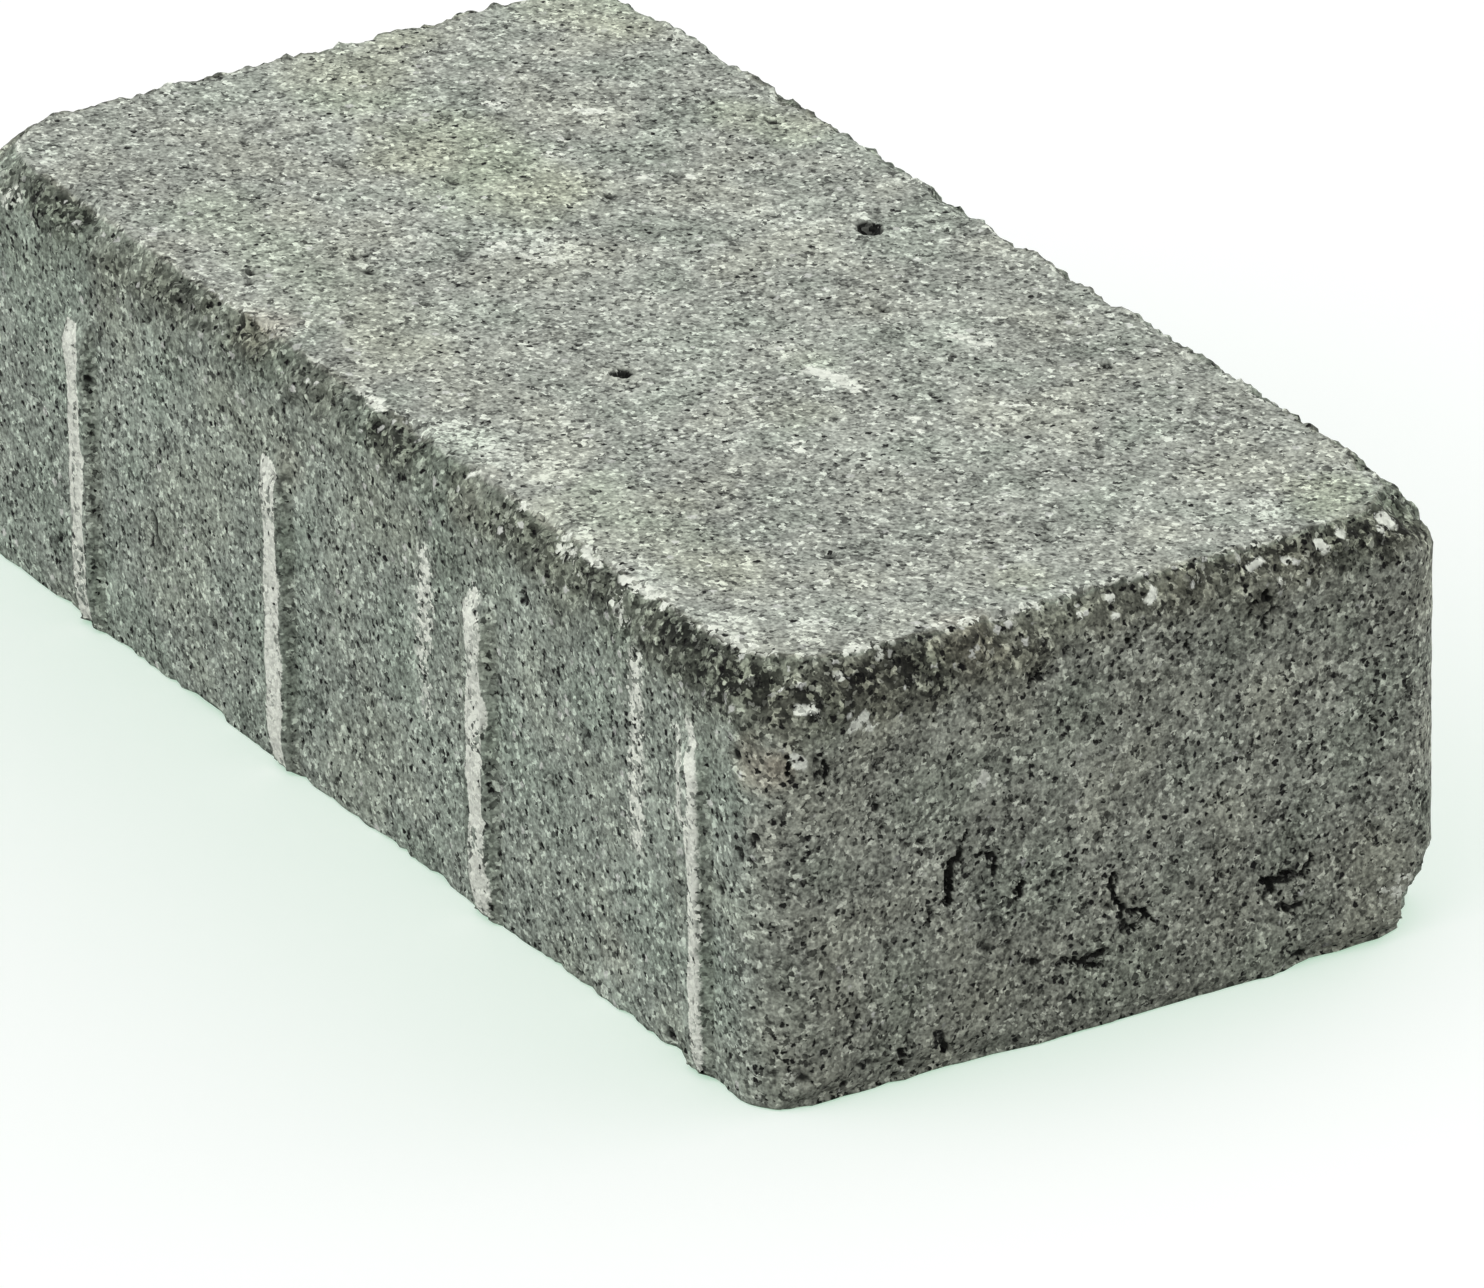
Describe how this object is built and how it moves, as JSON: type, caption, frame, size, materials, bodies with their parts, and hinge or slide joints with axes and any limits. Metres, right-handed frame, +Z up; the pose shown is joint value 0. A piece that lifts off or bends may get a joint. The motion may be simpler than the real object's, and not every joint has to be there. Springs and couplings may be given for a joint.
{
  "type": "concrete paving stone",
  "caption": "Rectangular concrete paving stone with rounded upright corners, an eased edge round its wearing face and low spacer ribs down its long sides, for laying paths and drives.",
  "frame": {"origin": "middle of the bed face, which is the flat underside that the stone is laid on", "axes": "+X along the length, +Y across the width towards the far row of ribs, +Z up from the bed face to the wearing face"},
  "size_m": [0.2, 0.1016, 0.057],
  "materials": {
    "concrete": "rough pressed concrete, matt grey with fine sand grain"
  },
  "bodies": {
    "root": {"paving_stone": "concrete"}
  },
  "joints": []
}
